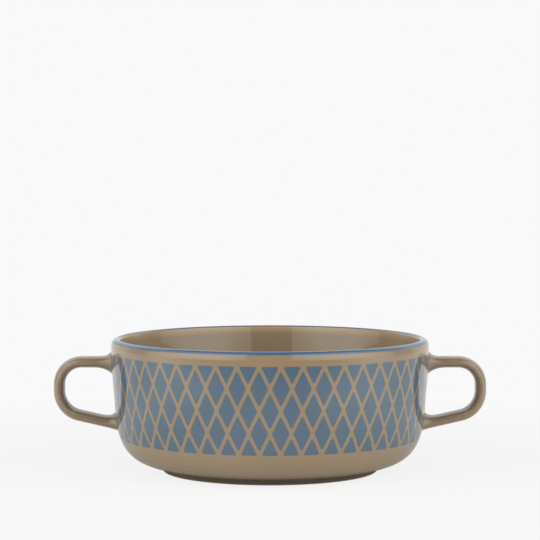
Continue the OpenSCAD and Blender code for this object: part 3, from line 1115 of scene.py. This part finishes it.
to_eye = mix_shaders(tree, rays.outputs["Is Camera Ray"], lit, to_camera)
surface = mix_shaders(tree, by_glaze(tree, rays), to_eye, in_glaze)
add_node(tree, "ShaderNodeOutputMaterial", Surface=surface)
floor.data.materials.append(table)
print("The table's material has", len(tree.nodes), "nodes")

# %% [markdown]
# ## The light
# The studio has two wide, tall softboxes, one on each side of the camera. They
# are brightest in the middle and lean over the bowl. They leave a dark gap at
# the camera, which is the darker panel on the inside of the bowl. Behind them
# the room is dim, and the ceiling is dark, but the backdrop on the far side of
# the bowl is lit white. The lamps here stand upright. What the glaze mirrors of
# their leaning tops, the room and the backdrop is painted on the world.

# %% Hang the softboxes
SOFTBOX_W = 2.8
SOFTBOX_LOW = -0.8  # the lower end, below the table's top
SOFTBOX_MID = 0.36  # where the dimmer lower part ends
SOFTBOX_TOP = 1.9
DIM, BRIGHT = 2.0, 2.4  # times as bright as white paper
SOFTBOX_END = 0.4  # how much of that is left at the two ends
SOFTBOX_FADE = (0.1, 0.45)  # where it fades, in widths from the middle
SOFTBOX_AWAY = 1.6
SOFTBOX_TURN = 57  # degrees from the camera's line


def softbox(name, turn, low, high, glow):
    """Part of an upright softbox that faces the bowl from the angle turn."""
    select_none()
    a = math.radians(turn)
    bpy.ops.object.light_add(
        type="AREA", rotation=(math.pi / 2, 0, a),
        location=(SOFTBOX_AWAY * math.sin(a), -SOFTBOX_AWAY * math.cos(a), (low + high) / 2))
    lamp = bpy.context.object
    lamp.name = lamp.data.name = name
    lamp.data.shape = "RECTANGLE"
    lamp.data.size, lamp.data.size_y = SOFTBOX_W, high - low
    lamp.data.energy = glow * math.pi * SOFTBOX_W * (high - low)
    lamp.visible_camera = False
    lamp.data.use_nodes = True
    tree = lamp.data.node_tree
    across = parts_of(tree, tree.nodes.new("ShaderNodeNewGeometry").outputs["Parametric"])["X"]
    from_middle = math_node(tree, "ABSOLUTE", minus(tree, across, 0.5))
    fade = times(tree, ramp_between(tree, from_middle, *SOFTBOX_FADE), 1 - SOFTBOX_END)
    feed(tree, tree.nodes["Emission"].inputs["Strength"], minus(tree, 1, fade))


for name, turn in (("softbox_left", -SOFTBOX_TURN), ("softbox_right", SOFTBOX_TURN)):
    softbox(name + "_low", turn, SOFTBOX_LOW, SOFTBOX_MID, DIM)
    softbox(name + "_high", turn, SOFTBOX_MID, SOFTBOX_TOP, BRIGHT)
print("Two softboxes,", DIM, "to", BRIGHT, "times white")

# %% Darken the gap
CARD_X, CARD_AWAY = -0.05, 1.7  # the gap isn't quite in the middle
CARD_W, CARD_H = 1, 2.4
FELT = 0.04

select_none()
bpy.ops.mesh.primitive_plane_add(
    size=1, location=(CARD_X, -CARD_AWAY, 0), rotation=(math.pi / 2, 0, 0))
card = bpy.context.object
card.name = "dark_card"
card.scale = (CARD_W, CARD_H, 1)
card.visible_camera = False
felt = bpy.data.materials.new("black_felt")
felt.use_nodes = True
shader = felt.node_tree.nodes["Principled BSDF"]
shader.inputs["Base Color"].default_value = grey(FELT)
shader.inputs["Roughness"].default_value = 1
card.data.materials.append(felt)
print("The dark card is", CARD_W, "by", CARD_H, "m")

# %% Paint the room
DIM_ROOM = 0.3  # what the glaze shows of the room behind the softboxes,
CEILING = 0.25  # overhead
BACK = 1.4  # and of the lit upper part of the backdrop
# Heights are the Z of a direction, and turns are degrees from the camera
CEILING_Z = (0.3, 0.7)  # from the dim room to the ceiling
BACK_Z = (0.25, 0.55)  # from white to the backdrop's lit part
BACK_END_Z = (0.66, 0.84)  # from there to the ceiling
BACK_TURN = (112, 135)  # from the dim room to the backdrop

world = bpy.data.worlds.new("studio")
bpy.context.scene.world = world
world.use_nodes = True
tree = world.node_tree
at = parts_of(tree, tree.nodes.new("ShaderNodeTexCoord").outputs["Generated"])
side = math_node(tree, "ABSOLUTE", at["X"])
turned = math_node(tree, "ARCTAN2", side, times(tree, at["Y"], -1))


def turn_ramp(first, last):
    """0 to 1 from the first to the last turn, in degrees."""
    return ramp_between(tree, turned, math.radians(first), math.radians(last))


front = mix_colours(tree, ramp_between(tree, at["Z"], *CEILING_Z), grey(DIM_ROOM), grey(CEILING))
back = mix_colours(tree, ramp_between(tree, at["Z"], *BACK_Z), grey(WHITE), grey(BACK))
back = mix_colours(tree, ramp_between(tree, at["Z"], *BACK_END_Z), back, grey(CEILING))
room = mix_colours(tree, turn_ramp(*BACK_TURN), front, back)
print("The backdrop starts", BACK_TURN[0], "degrees from the camera")

# %% Lean the softboxes' tops over the bowl
AMBIENT = 0.28  # light from all round
LEANING = 2.2  # what the glaze shows of the leaning tops
LEANING_START, LEANING_END = (20, 26), (105, 125)  # degrees from the camera
LEANING_END_Z = (0.93, 0.98)  # where they end, almost overhead
SEAM = 0.02  # how softly they join the upright lamps

# A direction passes over an upright lamp where its Z is more than the lamp's
# slope, top over distance, times the part of it that faces the lamp
a = math.radians(SOFTBOX_TURN)
facing = minus(tree, times(tree, side, math.sin(a)), times(tree, at["Y"], math.cos(a)))
above = minus(tree, at["Z"], times(tree, facing, SOFTBOX_TOP / SOFTBOX_AWAY))
leaning = times(tree, ramp_between(tree, above, -SEAM, SEAM),
                minus(tree, turn_ramp(*LEANING_START), turn_ramp(*LEANING_END)))
leaning = times(tree, leaning, minus(tree, 1, ramp_between(tree, at["Z"], *LEANING_END_Z)))
rays = tree.nodes.new("ShaderNodeLightPath")
in_glaze = mix_colours(tree, leaning, room, grey(LEANING))
background = mix_colours(tree, by_glaze(tree, rays), grey(AMBIENT), in_glaze)
background = mix_colours(tree, rays.outputs["Is Camera Ray"], background, grey(WHITE))
feed(tree, tree.nodes["Background"].inputs["Color"], background)
bpy.context.scene.view_settings.view_transform = "Standard"
print("The room lights from all round with", AMBIENT)
